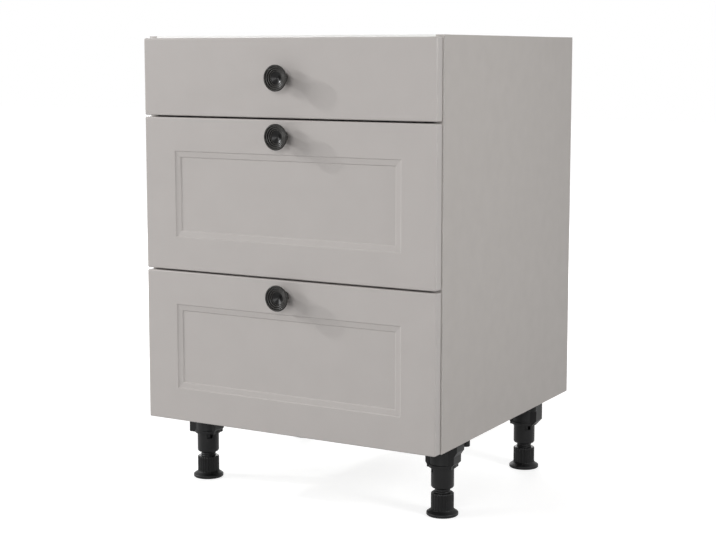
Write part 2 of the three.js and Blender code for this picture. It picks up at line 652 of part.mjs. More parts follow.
function foot(word, x, y, windowAngle, plateShape) {
  const group = new THREE.Group();
  group.position.set(x, y, 0);
  group.add(footPlate(word, plateShape), footSleeve(word, windowAngle), footAdjuster(word));
  return group;
}

// ---------------------------------------------------------------- the whole cabinet
/** Works out each drawer's heights from the floor up; all have metal sides of one height. */
function drawersWithHeights() {
  const gaps = FRONT_GAP * (DRAWERS.length - 1);
  const shares = DRAWERS.reduce((sum, drawer) => sum + drawer.share, 0);
  const oneShare = (CARCASS_HEIGHT - FRONT_TOP_INSET - gaps) / shares;
  const shallowest = oneShare * Math.min(...DRAWERS.map((drawer) => drawer.share));
  const sideHeight = shallowest - RUNNER_RISE - SIDE_TOP_DROP;
  let z = Z_CARCASS;
  return DRAWERS.map((drawer) => {
    const frontHeight = oneShare * drawer.share;
    const placed = { ...drawer, frontHeight, sideHeight, zFront: z, zRunner: z + RUNNER_RISE };
    z += frontHeight + FRONT_GAP;
    return placed;
  });
}

const cabinet = new THREE.Group();
cabinet.add(carcass());

for (const drawer of drawersWithHeights()) {
  const group = new THREE.Group();
  group.add(
    ...bothSides((word, side) => cabinetRail(drawer, word, side)),
    ...bothSides((word, side) => middleRail(drawer, word, side)),
    drawerFront(drawer),
    knob(drawer),
    knobScrew(drawer),
    ...bothSides((word, side) => drawerSide(drawer, word, side)),
    ...drawerBox(drawer),
  );
  if (drawer.deep) group.add(...bothSides((word, side) => galleryRod(drawer, word, side)));
  cabinet.add(group);
}

const FOOT_X = HALF_WIDTH - FOOT_SIDE_INSET;
const FOOT_Y_FRONT = Y_FACE + FOOT_FRONT_INSET;
const FOOT_Y_REAR = Y_REAR - FOOT_REAR_INSET;
const PLATE_SHAPES = {
  frontLeft: { left: BLOCK_BOX, right: BLOCK_PLAIN, lug: [-1, 1] },
  frontRight: { left: BLOCK_PLAIN, right: BLOCK_STEPPED, lug: [1, 1] },
  rearLeft: { left: BLOCK_SLOPED, right: BLOCK_PLAIN, lug: [-1, -1] },
  rearRight: { left: BLOCK_PLAIN, right: BLOCK_SLOPED, lug: [1, -1] },
};
cabinet.add(
  foot("front_left", -FOOT_X, FOOT_Y_FRONT, 45, PLATE_SHAPES.frontLeft),
  foot("front_right", FOOT_X, FOOT_Y_FRONT, -45, PLATE_SHAPES.frontRight),
  foot("rear_left", -FOOT_X, FOOT_Y_REAR, -45, PLATE_SHAPES.rearLeft),
  foot("rear_right", FOOT_X, FOOT_Y_REAR, 45, PLATE_SHAPES.rearRight),
);

export default cabinet;
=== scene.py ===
"""The finish, fittings and picture of a kitchen base cabinet with three drawers on screw feet.

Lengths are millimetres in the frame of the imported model: +Z up, the drawer fronts face -Y, the
floor is z = 0. piece() turns them into metres. Camera, lamps and floor are given in metres.
"""

import math

import bpy
import numpy as np
from mathutils.geometry import delaunay_2d_cdt
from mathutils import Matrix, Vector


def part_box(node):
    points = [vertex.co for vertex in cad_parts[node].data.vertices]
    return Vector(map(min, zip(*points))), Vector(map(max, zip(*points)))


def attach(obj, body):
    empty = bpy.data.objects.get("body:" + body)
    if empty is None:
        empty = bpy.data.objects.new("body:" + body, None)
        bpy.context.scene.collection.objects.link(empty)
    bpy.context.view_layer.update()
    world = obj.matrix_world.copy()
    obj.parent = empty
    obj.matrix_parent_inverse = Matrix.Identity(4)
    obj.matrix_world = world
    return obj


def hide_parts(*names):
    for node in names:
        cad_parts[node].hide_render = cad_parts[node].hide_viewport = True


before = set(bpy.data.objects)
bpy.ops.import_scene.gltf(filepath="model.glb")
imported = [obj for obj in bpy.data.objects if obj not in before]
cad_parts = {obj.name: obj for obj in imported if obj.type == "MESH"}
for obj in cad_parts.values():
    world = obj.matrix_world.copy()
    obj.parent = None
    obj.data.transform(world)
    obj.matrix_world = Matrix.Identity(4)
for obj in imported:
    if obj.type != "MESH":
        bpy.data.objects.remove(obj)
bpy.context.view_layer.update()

MM = 0.001
LEFT_RIGHT = {"left": -1, "right": 1}
DRAWERS = ("bottom", "middle", "top")
DEEP_DRAWERS = ("bottom", "middle")
FEET = ("front_left", "front_right", "rear_left", "rear_right")


def corners(node):
    """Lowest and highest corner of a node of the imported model."""
    low, high = np.array(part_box(node)) / MM
    return low, high


def centred(node, axis, level):
    """The middle of a node's box, but at a level of its own along one axis, 0 to 2."""
    place = sum(corners(node)) / 2
    place[axis] = level
    return place


def outer_side(node, side):
    """Where a node's box ends in X, on the given side of the cabinet."""
    return corners(node)[side > 0][0]


def added(name, data):
    """A new object of the scene that shows the data."""
    made = bpy.data.objects.new(name, data)
    bpy.context.scene.collection.objects.link(made)
    return made


# ---- camera
CAMERA_PLACE = (1.4104, -2.4984, 0.8113)
CAMERA_YAW = math.radians(29.597)  # to the left of straight back
CAMERA_PITCH = math.radians(6.809)  # downwards
CAMERA_LENS = 76.196  # in mm, as the sensor
CAMERA_SENSOR = 36
CAMERA_SHIFT = -0.05


def make_camera():
    camera = added("camera", bpy.data.cameras.new("camera"))
    camera.data.lens = CAMERA_LENS
    camera.data.sensor_width = CAMERA_SENSOR
    camera.data.shift_y = CAMERA_SHIFT
    camera.location = CAMERA_PLACE
    camera.rotation_euler = (math.pi / 2 - CAMERA_PITCH, 0, CAMERA_YAW)
    bpy.context.scene.camera = camera


make_camera()


# ---- lines and outlines
TINY = 1e-6  # keeps divisions from zero
NEARLY_STRAIGHT = 0.499 * math.pi  # half the angle of a corner that is left as it is


def rounded(points, radius, steps=4, closed=False):
    """A line of points with arcs for corners.

    At each corner, with half the angle between its legs called h, the arc starts radius / tan(h)
    down each leg, and its centre lies radius / sin(h) from the corner.
    """
    points = np.asarray(points, float)
    count = len(points)
    radii = np.broadcast_to(radius, count)
    way = np.linspace(0, 1, steps + 1)[:, None]
    line = []
    for i, corner in enumerate(points):
        legs = points[i - 1] - corner, points[(i + 1) % count] - corner
        lengths = [max(np.linalg.norm(leg), TINY) for leg in legs]
        u, v = legs[0] / lengths[0], legs[1] / lengths[1]
        half = math.acos(np.clip(u @ v, -1, 1)) / 2
        at_end = not closed and i in (0, count - 1)
        if at_end or radii[i] <= 0 or min(lengths) <= TINY or half > NEARLY_STRAIGHT:
            line.append(corner[None])
            continue
        cut = min(radii[i] / math.tan(half), 0.48 * min(lengths))
        middle = corner + (u + v) / np.linalg.norm(u + v) * cut / math.cos(half)
        sweep = math.pi - 2 * half
        start, end = corner + u * cut - middle, corner + v * cut - middle
        arc = np.sin((1 - way) * sweep) * start + np.sin(way * sweep) * end
        line.append(middle + arc / math.sin(sweep))
    return np.concatenate(line)


def refined(line, margin):
    """The line with two more points on each leg longer than two margins, a margin from its ends."""
    points = [line[:1]]
    for start, end in zip(line[:-1], line[1:]):
        length = np.linalg.norm(end - start)
        shares = [margin / length, 1 - margin / length, 1] if length > 2.1 * margin else [1]
        points.append(start + np.array(shares)[:, None] * (end - start))
    return np.concatenate(points)


def rectangle(half_width, half_height, radius, steps=6):
    """The outline of a rectangle about the origin, its corners rounded by the radius."""
    signs = np.array([[-1, -1], [1, -1], [1, 1], [-1, 1]])
    radius = max(radius, 0.02)
    return rounded(signs * [half_width, half_height], radius, steps, closed=True)


def strip(line, thickness):
    """Both sides of a bent strip: each point moved half the thickness along its normal.

    The normal is the mean of its two legs' normals, lengthened to keep the strip's thickness.
    """
    line = np.asarray(line, float)
    way = np.diff(line, axis=0)
    way /= np.linalg.norm(way, axis=1)[:, None]
    before = np.vstack([way[:1], way])
    after = np.vstack([way, way[-1:]])
    mean = before + after
    mean /= np.linalg.norm(mean, axis=1)[:, None]
    stretch = 1 / np.maximum((mean * before).sum(1), 0.5)
    normal = np.stack([-mean[:, 1], mean[:, 0]], 1) * stretch[:, None] * thickness / 2
    return line + normal, line - normal


# ---- closed surfaces
def outwards(vertices, faces):
    """The surface with its faces pointing out: the volume under their fans of triangles is positive."""
    volume = 0.0
    for size in {len(face) for face in faces}:
        corner = vertices[np.array([face for face in faces if len(face) == size])]
        fan = np.cross(corner[:, 1:-1], corner[:, 2:])
        volume += (fan * corner[:, :1]).sum()
    return vertices, faces if volume > 0 else [face[::-1] for face in faces]


def skin(loops, ring=False):
    """A closed surface over a row of closed loops, all of one length.

    Its two ends are flat faces, or with ring the last loop joins the first.
    """
    rows, count = loops.shape[:2]
    along = np.arange(rows if ring else rows - 1)[:, None]
    around = np.arange(count)
    a = along * count + around
    b = np.roll(a, -1, 1)
    step = ((along + 1) % rows - along) * count
    faces = np.stack([a, b, b + step, a + step], -1).reshape(-1, 4).tolist()
    if not ring:
        faces += [around[::-1].tolist(), (around + (rows - 1) * count).tolist()]
    return outwards(loops.reshape(-1, 3), faces)


def turned(profile, segments, ring=False, form=None):
    """Points (radius, height) carried round the Z axis: (r cos t, r sin t, h).

    form(t, r, h) may change radius and height. An open profile starts and ends on the axis, where
    it closes to a point.
    """
    profile = np.asarray(profile, float)
    turn = np.linspace(0, 2 * math.pi, segments, endpoint=False)
    body = profile if ring else profile[1:-1]
    radius, height = np.repeat(body[:, :1], segments, 1), np.repeat(body[:, 1:], segments, 1)
    if form:
        radius, height = form(turn[None], radius, height)
    loops = np.stack([radius * np.cos(turn), radius * np.sin(turn), height], -1)
    if ring:
        return skin(loops, ring=True)
    vertices, faces = skin(loops)
    poles = [[0, 0, profile[0, 1]], [0, 0, profile[-1, 1]]]
    caps, faces = faces[-2:], faces[:-2]
    for pole, cap in enumerate(caps, len(vertices)):
        faces += [[cap[i - 1], cap[i], pole] for i in range(segments)]
    return outwards(np.vstack([vertices, poles]), faces)


def walled(outer, inner, present, ring=False):
    """A wall between two grids of points, rows by columns, with an opening where present is False.

    Each cell that is present has a face on both grids, and each of its edges that no other present
    cell shares has a face across the wall. With ring, the last column joins the first.
    """
    rows, columns = outer.shape[:2]
    if not ring:
        present = np.pad(present, ((0, 0), (0, 1)))
    index = np.arange(rows * columns).reshape(rows, columns)
    right, far = np.roll(index, -1, 1), rows * columns
    cells = np.stack([index[:-1], right[:-1], right[1:], index[1:]], -1)
    tall = np.pad(present, ((1, 1), (0, 0)))
    neighbours = tall[:-2], np.roll(present, -1, 1), tall[2:], np.roll(present, 1, 1)
    kept = cells[present]
    faces = [kept, kept[:, ::-1] + far]
    for a, neighbour in enumerate(neighbours):
        start, end = cells[present & ~neighbour][:, [a, (a + 1) % 4]].T
        faces.append(np.stack([end, start, start + far, end + far], -1))
    used, faces = np.unique(np.concatenate(faces), return_inverse=True)
    points = np.vstack([outer.reshape(-1, 3), inner.reshape(-1, 3)])[used]
    return outwards(points, faces.reshape(-1, 4).tolist())


AXES = {"x": (1, 2, 0), "y": (0, 2, 1), "z": (0, 1, 2)}  # the outline's two axes, then its way


def placed(outline, axis, at):
    """An outline of two coordinates, set square to an axis at one place along it."""
    loop = np.full((len(outline), 3), float(at))
    loop[:, AXES[axis][:2]] = outline
    return loop


def extruded(outline, axis, start, end):
    """An outline carried straight along an axis from start to end."""
    return skin(np.stack([placed(outline, axis, start), placed(outline, axis, end)]))


def slab(low, high, edge, corner=0.0, axis="z", steps=3):
    """A board between two corners: its edges rounded by edge, its outline's corners by corner.

    Round each end of the axis, the outline shrinks by edge (1 - sin a) while it rises by
    edge (1 - cos a), with a from 0 to a right angle.
    """
    low, high = np.asarray(low, float), np.asarray(high, float)
    u, v, w = AXES[axis]
    half, middle = (high - low) / 2, (high + low) / 2
    bend = np.linspace(0, math.pi / 2, steps + 1)
    levels = [(low[w] + edge * (1 - math.cos(a)), edge * (1 - math.sin(a))) for a in bend]
    levels += [(high[w] - (level - low[w]), shrink) for level, shrink in levels[::-1]]
    full_corner = max(corner, edge)
    loops = []
    for level, shrink in levels:
        outline = rectangle(half[u] - shrink, half[v] - shrink, full_corner - shrink)
        loops.append(placed(outline + [middle[u], middle[v]], axis, level))
    return skin(np.stack(loops))


def bored_board(low, high, bores):
    """A flat board with upright holes: (x, y, radius, depth) each, depth from the top, None for through.

    Its two broad faces are triangles that keep to the outline and the circles of the holes.
    """
    turn = np.linspace(0, 2 * math.pi, 24, endpoint=False)
    circle = np.stack([np.cos(turn), np.sin(turn)], 1)
    outline = np.array([low[:2], (high[0], low[1]), high[:2], (low[0], high[1])])
    points, faces = [], []

    def add(loop, level):
        start = sum(map(len, points))
        points.append(np.column_stack([loop, np.full(len(loop), level)]))
        return list(range(start, start + len(loop)))

    def broad_face(level, holes):
        loops = [outline] + [circle * r + [x, y] for x, y, r, _ in holes]
        rings = [add(loop, level) for loop in loops]
        start, flat = rings[0][0], np.concatenate(loops)
        edges = [(ring[i] - start, ring[(i + 1) % len(ring)] - start)
                 for ring in rings for i in range(len(ring))]
        for triangle in delaunay_2d_cdt([tuple(p) for p in flat], edges, [], 0, 1e-4)[2]:
            middle = flat[list(triangle)].mean(0)
            if all(math.hypot(middle[0] - x, middle[1] - y) > r * 0.98 for x, y, r, _ in holes):
                faces.append([start + i for i in triangle][:: 1 if level == high[2] else -1])
        return rings

    def wall(upper, under):
        faces.extend([upper[i - 1], under[i - 1], under[i], upper[i]] for i in range(len(upper)))

    top = broad_face(high[2], bores)
    base = broad_face(low[2], [bore for bore in bores if bore[3] is None])
    wall(top[0], base[0])
    below = iter(base[1:])
    for ring, (x, y, r, depth) in zip(top[1:], bores):
        floor = next(below) if depth is None else add(circle * r + [x, y], high[2] - depth)
        wall(ring[::-1], floor[::-1])
        if depth is not None:
            faces.append(floor)
    return outwards(np.concatenate(points), faces)


def moved(shape, turn=((1, 0, 0), (0, 1, 0), (0, 0, 1)), place=(0, 0, 0)):
    """The surface turned by a matrix and then shifted."""
    vertices, faces = shape
    return vertices @ np.transpose(turn) + place, faces


def joined(*shapes):
    """Several closed surfaces as one mesh's worth of vertices and faces."""
    vertices, faces, count = [], [], 0
    for points, own in shapes:
        vertices.append(points)
        faces += [[i + count for i in face] for face in own]
        count += len(points)
    return np.concatenate(vertices), faces


# Turns that bring the Z axis to another way; the columns are where X, Y and Z go.
FACING = {
    "front": [[1, 0, 0], [0, 0, -1], [0, 1, 0]],
    "back": [[-1, 0, 0], [0, 0, 1], [0, 1, 0]],
    "left": [[0, 0, -1], [1, 0, 0], [0, -1, 0]],
    "right": [[0, 0, 1], [1, 0, 0], [0, 1, 0]],
    "down": [[1, 0, 0], [0, -1, 0], [0, 0, -1]],
}
BEVEL_FROM = math.radians(50)  # the least angle of an edge that soften rounds


def piece(name, shape, body, finish, replaces=None, soften=0, paint=None, smooth=32):
    """An object in metres from a closed surface in millimetres.

    finish is a material or several; paint(normals) gives each face's number among them. soften is
    the width of a bevel on sharp edges. Edges up to smooth, in degrees, are shaded round.
    """
    vertices, faces = shape
    mesh = bpy.data.meshes.new(name)
    mesh.from_pydata((vertices * MM).tolist(), [], faces)
    for material in finish if isinstance(finish, list) else [finish]:
        mesh.materials.append(material)
    count = len(mesh.polygons)
    if paint:
        normals = np.empty(count * 3)
        mesh.polygons.foreach_get("normal", normals)
        numbers = paint(normals.reshape(-1, 3))
        mesh.polygons.foreach_set("material_index", numbers.astype(np.int32))
    mesh.polygons.foreach_set("use_smooth", np.ones(count, bool))
    mesh.set_sharp_from_angle(angle=math.radians(smooth))
    made = added(name, mesh)
    if soften:
        bevel = made.modifiers.new("soft_edges", "BEVEL")
        bevel.width = soften * MM
        bevel.segments = 2
        bevel.limit_method = "ANGLE"
        bevel.angle_limit = BEVEL_FROM
        bevel.harden_normals = True
    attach(made, body)
    if replaces:
        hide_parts(replaces)
    return made


# ---- finishes
WHITE = (1, 1, 1, 1)


def tone(screen):
    """A colour given as it shows on a screen, 0 to 255, in linear light."""
    linear = [c / 12.92 if c <= 0.04045 else ((c + 0.055) / 1.055) ** 2.4
              for c in np.array(screen) / 255]
    return (*linear, 1)


class Tree:
    """Adds nodes to a node tree. Each input is a plain value or the socket of another node."""

    def __init__(self, tree):
        self.nodes, self.link = tree.nodes, tree.links.new

    def feed(self, socket, given):
        if hasattr(given, "links"):
            self.link(given, socket)
        else:
            socket.default_value = given

    def add(self, kind, inputs, **settings):
        node = self.nodes.new("ShaderNode" + kind)
        for name, value in settings.items():
            setattr(node, name, value)
        for label, given in inputs.items():
            self.feed(node.inputs[label], given)
        return node

    def place(self):
        return self.add("TexCoord", {}).outputs["Object"]

    def noise(self, scale, detail=2.0, roughness=0.5):
        return self.add("TexNoise", {"Vector": self.place(), "Scale": scale, "Detail": detail,
                                     "Roughness": roughness}).outputs["Fac"]

    def spread(self, value, low, high, to_low, to_high):
        """value from low..high carried to to_low..to_high."""
        return self.add("MapRange", {"Value": value, "From Min": low, "From Max": high,
                                     "To Min": to_low, "To Max": to_high}).outputs["Result"]

    def mixed(self, share, first, second):
        """Two colours mixed; the numbers are those of the node's colour sockets."""
        return self.add("Mix", {0: share, 6: first, 7: second}, data_type="RGBA").outputs[2]

    def maths(self, operation, first, second, clamp=False):
        return self.add("Math", {0: first, 1: second}, operation=operation, use_clamp=clamp).outputs[0]

    def cells(self, scale, vector):
        """Voronoi cells: the node, and the parts of the colour that each cell has of its own."""
        node = self.add("TexVoronoi", {"Vector": vector, "Scale": scale, "Randomness": 1})
        return node, self.add("SeparateColor", {0: node.outputs["Color"]}).outputs


def build_grain(tree, given):
    """Fine pores over a slow drift: two noises, one at the given scale and one at a fiftieth of it."""
    fine = tree.noise(given["Scale"], 3.0, 0.6)
    slow = tree.noise(tree.maths("MULTIPLY", given["Scale"], 0.02))
    drift = tree.spread(slow, 0.3, 0.7, 0, 1)
    pores = tree.spread(fine, 0.35, 0.65, 0, 1)
    return {"Colour": tree.mixed(tree.mixed(0.45, drift, pores), given["Dark"], given["Light"]),
            "Roughness": tree.spread(pores, 0, 1, given["Smoothest"], given["Roughest"]),
            "Height": fine}


def build_chips(tree, given):
    """Pressed wood chips: flat Voronoi cells, each with a tone of its own, and fine dust."""
    flat = tree.add("Mapping", {"Vector": tree.place(), "Scale": (1, 1, 2.2)})
    chips, own = tree.cells(given["Scale"], flat.outputs[0])
    dust = tree.noise(given["Scale"], 4.0, 0.7)
    return {"Colour": tree.mixed(tree.mixed(0.35, own[0], dust), given["Dark"], given["Light"]),
            "Height": tree.mixed(0.5, chips.outputs["Distance"], dust)}


def build_spangle(tree, given):
    """Zinc crystals: Voronoi cells, each a little lighter or duller than the next."""
    _, own = tree.cells(given["Scale"], tree.place())
    return {"Colour": tree.mixed(own[0], given["Dark"], given["Light"]),
            "Roughness": tree.spread(own[1], 0, 1, given["Smoothest"], given["Roughest"])}


def build_rubbed_and_highlight(tree, given):
    """Rubbed wear and painted highlight on outstanding edges: the surface's ridge attribute, broken up by a
    noise, lightens the colour and smooths it.
    """
    # The lighter colour on ridges is partly rubbed wear and partly a painted highlight.
    ridge = tree.add("Attribute", {}, attribute_name="ridge").outputs["Fac"]
    broken = tree.spread(tree.noise(given["Scale"], 3.0, 0.6), 0.3, 0.7, 0.55, 1)
    mask = tree.maths("MULTIPLY", ridge, broken, clamp=True)
    return {"Colour": tree.mixed(mask, given["Dark"], given["Light"]),
            "Roughness": tree.spread(mask, 0, 1, given["Roughest"], given["Smoothest"])}


COLOURS = ("Dark", "Light", "Colour")  # the sockets of a group that hold a colour


def effect(name, build, inputs, outputs):
    """A shader node group with named sockets; build(tree, given) returns a socket for each output."""
    group = bpy.data.node_groups.new(name, "ShaderNodeTree")
    for labels, in_out in ((inputs, "INPUT"), (outputs, "OUTPUT")):
        for label in labels:
            kind = "NodeSocketColor" if label in COLOURS else "NodeSocketFloat"
            group.interface.new_socket(label, in_out=in_out, socket_type=kind)
    results = build(Tree(group), group.nodes.new("NodeGroupInput").outputs)
    end = group.nodes.new("NodeGroupOutput")
    for label in outputs:
        group.links.new(results[label], end.inputs[label])
    return group


TONED = "Scale", "Dark", "Light"
SHINED = *TONED, "Smoothest", "Roughest"
GRAIN = effect("grain", build_grain, SHINED, ("Colour", "Roughness", "Height"))
CHIPS = effect("chips", build_chips, TONED, ("Colour", "Height"))
SPANGLE = effect("spangle", build_spangle, SHINED, ("Colour", "Roughness"))
RUBBED_AND_HIGHLIGHT = effect("rubbed_and_highlight", build_rubbed_and_highlight, SHINED, ("Colour", "Roughness"))


def finish_of(name, group, dark, light, scale, depth, shine=(), pores=None, **sockets):
    """A material with one Principled BSDF, fed by an effect that is placed with its own values.

    Its relief, depth in millimetres, comes from the effect's height or from pores, a noise of the
    given scale and detail. shine is its roughness from and to; sockets are the BSDF's plain values.
    """
    material = bpy.data.materials.new(name)
    material.use_nodes = True
    tree = Tree(material.node_tree)
    values = dict(zip(SHINED, (scale, tone(dark), tone(light), *shine)))
    effects = tree.add("Group", values, node_tree=group).outputs
    height = tree.noise(*pores) if pores else effects["Height"]
    relief = tree.add("Bump", {"Distance": depth * MM, "Strength": 1, "Height": height})
    shader = tree.nodes["Principled BSDF"].inputs
    tree.feed(shader["Base Color"], effects["Colour"])
    tree.feed(shader["Normal"], relief.outputs[0])
    if shine:
        tree.feed(shader["Roughness"], effects["Roughness"])
    for label, value in sockets.items():
        shader[label.replace("_", " ")].default_value = value
    return material


GREY_FOIL = finish_of(
    "grey_foil", GRAIN, (181, 176, 173), (185, 180, 177), 900, 0.012, (0.31, 0.37), Specular_IOR_Level=0.42)
GREY_LAMINATE = finish_of(
    "grey_laminate", GRAIN, (178, 173, 169), (184, 179, 175), 1500, 0.03, (0.46, 0.58),
    Specular_IOR_Level=0.4)
GREY_EDGING = finish_of("grey_edging", GRAIN, (180, 175, 171), (185, 180, 176), 1100, 0.012, (0.4, 0.5))
WHITE_MELAMINE = finish_of(
    "white_melamine", GRAIN, (236, 236, 233), (243, 243, 240), 1300, 0.025, (0.42, 0.54),
    Specular_IOR_Level=0.45)
WHITE_EDGING = finish_of("white_edging", GRAIN, (238, 238, 236), (243, 243, 241), 1100, 0.01, (0.38, 0.48))
BROWN_HARDBOARD = finish_of("brown_hardboard", GRAIN, (132, 98, 66), (160, 124, 88), 700, 0.08, (0.7, 0.85))
WHITE_HARDBOARD = finish_of(
    "white_hardboard", GRAIN, (233, 232, 228), (240, 239, 235), 600, 0.03, (0.5, 0.62))
WHITE_STEEL = finish_of(
    "powder_coated_steel", GRAIN, (219, 220, 221), (226, 227, 228), 1800, 0.02, (0.34, 0.44),
    Coat_Weight=0.15, Coat_Roughness=0.3)
WHITE_PLASTIC = finish_of("white_plastic", GRAIN, (228, 228, 226), (234, 234, 232), 800, 0.008, (0.32, 0.4))
GREY_PLASTIC = finish_of("grey_plastic", GRAIN, (96, 98, 101), (110, 112, 115), 900, 0.01, (0.4, 0.5))
CLEAR_PAD = finish_of(
    "buffer_pad", GRAIN, (205, 205, 200), (216, 216, 211), 400, 0.004, (0.25, 0.3),
    Transmission_Weight=0.35, IOR=1.48)
CHIPBOARD = finish_of("raw_chipboard_edge", CHIPS, (120, 92, 62), (214, 188, 150), 420, 0.35, Roughness=0.85)
GALVANISED = finish_of(
    "galvanised_steel", SPANGLE, (150, 153, 156), (176, 179, 181), 260, 0.01, (0.3, 0.44), (1500, 2),
    Metallic=1)
ZINC_PLATE = finish_of(
    "zinc_plated_steel", SPANGLE, (188, 190, 192), (206, 208, 210), 1400, 0.01, (0.2, 0.3), (1500, 2),
    Metallic=1)
# Light is the colour on the knob's ridges: partly rubbed-through wear, partly painted highlight on its
# rings.
BLACK_METAL = finish_of(
    "black_metal", RUBBED_AND_HIGHLIGHT, (7, 6, 6), (98, 96, 93), 180, 0.015, (0.18, 0.3), (900, 3),
    Specular_IOR_Level=0.2)
# Light is painted highlight on the adjusters' outstanding ridges.
BLACK_PLASTIC = finish_of(
    "black_plastic", RUBBED_AND_HIGHLIGHT, (8, 8, 9), (60, 60, 61), 180, 0.03, (0.3, 0.46), (1500, 3),
    Specular_IOR_Level=0.24)


# ---- carcass
BAND = 1.0  # edging on the front edges of the carcass
SOFT_BOARD = 0.3
GROOVE_PLAY = 0.3
CAM_RADIUS = 7.5
CAM_DEPTH = 12.5
CAM_INSET = 34  # board's end to the middle of the cam
CAM_APART = 26  # middle of the rail to the middle of the cam
SCREW_HOLE_RADIUS = 3
SCREW_HOLE_INSET = 90


def board_faces(*tests):
    """Numbers faces by the first test that their normal passes, counting from 1; the rest are 0."""
    def paint(normals):
        numbers = np.zeros(len(normals), int)
        for number, (axis, sign) in reversed(list(enumerate(tests, 1))):
            numbers[normals[:, axis] * sign > 0.7] = number
        return numbers
    return paint


def edging(name, node, finish, soft=0.45, steps=3):
    """The strip on a board's front edge. Returns the corners of the board behind it."""
    low, high = corners(node)
    front = low[1] + BAND
    piece(name, slab(low, (high[0], front, high[2]), soft, axis="x", steps=steps), "carcass",
          finish)
    return np.array([low[0], front, low[2]]), high


def side_panel(word, side):
    """A section with the back panel's groove, carried upwards, and the edging on its front edge."""
    node = f"side_panel_{word}"
    low, high = edging(f"edging_{word}", node, GREY_EDGING, 0.8, 4)
    outside, inside = (low[0], high[0]) if side < 0 else (high[0], low[0])
    back_low, back_high = corners("back_panel")
    floor = outer_side("back_panel", side) + side * GROOVE_PLAY
    start, end = back_low[1] - GROOVE_PLAY, back_high[1] + GROOVE_PLAY
    section = [(outside, low[1]), (inside, low[1]), (inside, start), (floor, start),
               (floor, end), (inside, end), (inside, high[1]), (outside, high[1])]
    piece(node, extruded(section, "z", low[2], high[2]), "carcass",
          [WHITE_MELAMINE, GREY_LAMINATE, CHIPBOARD, CHIPBOARD, GREY_EDGING], node, SOFT_BOARD,
          board_faces((0, side), (1, 1), (2, -1), (2, 1)))


def off_cross(turn, radius):
    """How far a point of a turned surface lies from the nearer of the X and Y axes."""
    return np.minimum(abs(radius * np.cos(turn)), abs(radius * np.sin(turn)))


def cam(x, y, z):
    """A cam lock seen from above: a zinc disc with a rim and a cross slot."""
    rim, face = CAM_RADIUS - 0.2, -0.5
    profile = rounded([(0, -3), (rim, -3), (rim, 0), (rim - 1.4, 0), (rim - 2, face), (0, face)], 0.25, 2)
    across = [(radius, face) for radius in np.linspace(rim - 2.3, 0.1, 10)]

    def slotted(turn, radius, height):
        in_slot = (off_cross(turn, radius) < 0.9) & (radius < rim - 2.4) & (height > -1)
        return radius, height - 1.4 * in_slot

    disc = turned(np.vstack([profile[:-1], across, profile[-1:]]), 48, form=slotted)
    return moved(disc, place=(x, y, z - 0.4))


def top_rail(word):
    """A flat board with two worktop screw holes, and a cam lock near each end."""
    node = f"top_rail_{word}"
    middle = centred(node, 2, 0)[1]
    low, high = edging(f"edging_rail_{word}", node, WHITE_EDGING)
    holes = [(x, middle, SCREW_HOLE_RADIUS, None)
             for x in (low[0] + SCREW_HOLE_INSET, high[0] - SCREW_HOLE_INSET)]
    cams = [(x, y) for x in (low[0] + CAM_INSET, high[0] - CAM_INSET)
            for y in (middle - CAM_APART, middle + CAM_APART)]
    bores = holes + [(x, y, CAM_RADIUS, CAM_DEPTH) for x, y in cams]
    piece(node, bored_board(low, high, bores), "carcass",
          [WHITE_MELAMINE, CHIPBOARD, WHITE_EDGING], node, paint=board_faces((1, 1), (1, -1)))
    piece(f"cam_locks_rail_{word}", joined(*[cam(x, y, high[2]) for x, y in cams]), "carcass",
          ZINC_PLATE)


def make_carcass():
    for word, side in LEFT_RIGHT.items():
        side_panel(word, side)
    for word in ("front", "rear"):
        top_rail(word)
    bottom = edging("edging_bottom", "bottom_panel", WHITE_EDGING)
    piece("bottom_panel", slab(*bottom, SOFT_BOARD), "carcass",
          [WHITE_MELAMINE, CHIPBOARD], "bottom_panel", paint=board_faces((1, 1)))
    piece("back_panel", slab(*corners("back_panel"), 0.2, axis="y"), "carcass",
          [BROWN_HARDBOARD, WHITE_HARDBOARD], "back_panel", paint=board_faces((1, -1)))


# ---- screws
def screw_head(radius, height):
    """A screw head seen from above, its underside at z = 0, with a cross recess.

    Inside the recess, two bars across the axis, its dome drops in straight slopes.
    """
    dome = [(radius * math.cos(a), height * (0.45 + 0.55 * math.sin(a)))
            for a in np.linspace(0.1, 1.5, 12)]
    profile = [(0, -0.2), (radius, -0.2), (radius, 0.2 * height), *dome, (0, height)]
    reach, bar = 0.62 * radius, 0.13 * radius

    def recessed(turn, r, h):
        inwards = np.clip((reach - r) / (0.35 * reach), 0, 1)
        deep = inwards * np.clip((bar * 1.6 - off_cross(turn, r)) / (0.6 * bar), 0, 1)
        return r, np.where(h > 0.5 * height, h - 0.55 * height * deep, h)

    return turned(profile, 32, form=recessed)


# ---- drawer fronts
FRONT_CORNER = 2.8  # of the outline
FRONT_EDGE = 2.5  # between face and edges
FRONT_BACK_EDGE = 0.4
STILE = 66
RAIL = 60.5
RECESS_CORNER = 0.5
STEP_RUN = 1.4
STEP_FALL = 1.5
STRIP_WIDTH = 9.4
STRIP_FALL = 0.9
BUFFER_INSET = 6, 12  # sideways and upwards, from the front's edges


def recess_line():
    """The milled frame in section, (inwards, deep): a step, a sloping strip and a second step."""
    first = STEP_RUN, STEP_FALL
    second = first[0] + STRIP_WIDTH, first[1] + STRIP_FALL
    field = second[0] + STEP_RUN, second[1] + STEP_FALL
    line = [(-3, 0), (0, 0), first, second, field, (field[0] + 3, field[1])]
    return rounded(line, [0, 1.2, 0.2, 1.2, 0.2, 0], 5)


